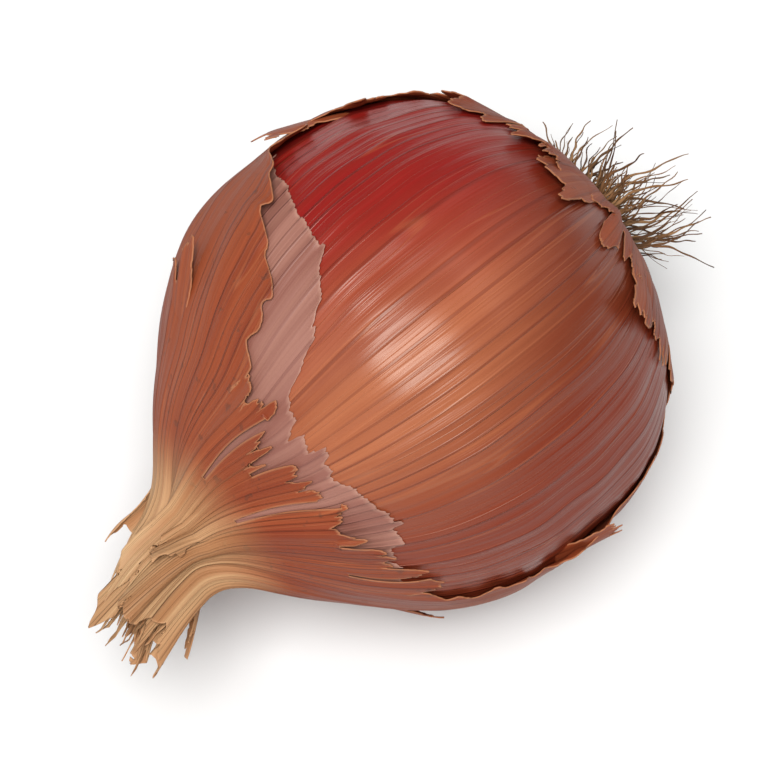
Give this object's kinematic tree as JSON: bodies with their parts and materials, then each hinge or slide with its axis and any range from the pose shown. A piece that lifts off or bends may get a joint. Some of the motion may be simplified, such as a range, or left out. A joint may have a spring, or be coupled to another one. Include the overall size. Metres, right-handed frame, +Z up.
{
  "type": "shallot",
  "caption": "Round dried shallot bulb with papery skin torn open on one side, a pleated dry neck and a tuft of dried roots, lying on its side.",
  "frame": {"origin": "middle of the small flat spot that the bulb rests on", "axes": "+X runs along the bulb to its roots and -X to its neck, +Z is up from the surface it lies on"},
  "size_m": [0.0645, 0.0443, 0.0415],
  "materials": {
    "papery_skin": "satin",
    "dried_roots": "matte"
  },
  "bodies": {
    "root": {"bulb": "papery_skin", "root_tuft": "dried_roots"}
  },
  "joints": []
}
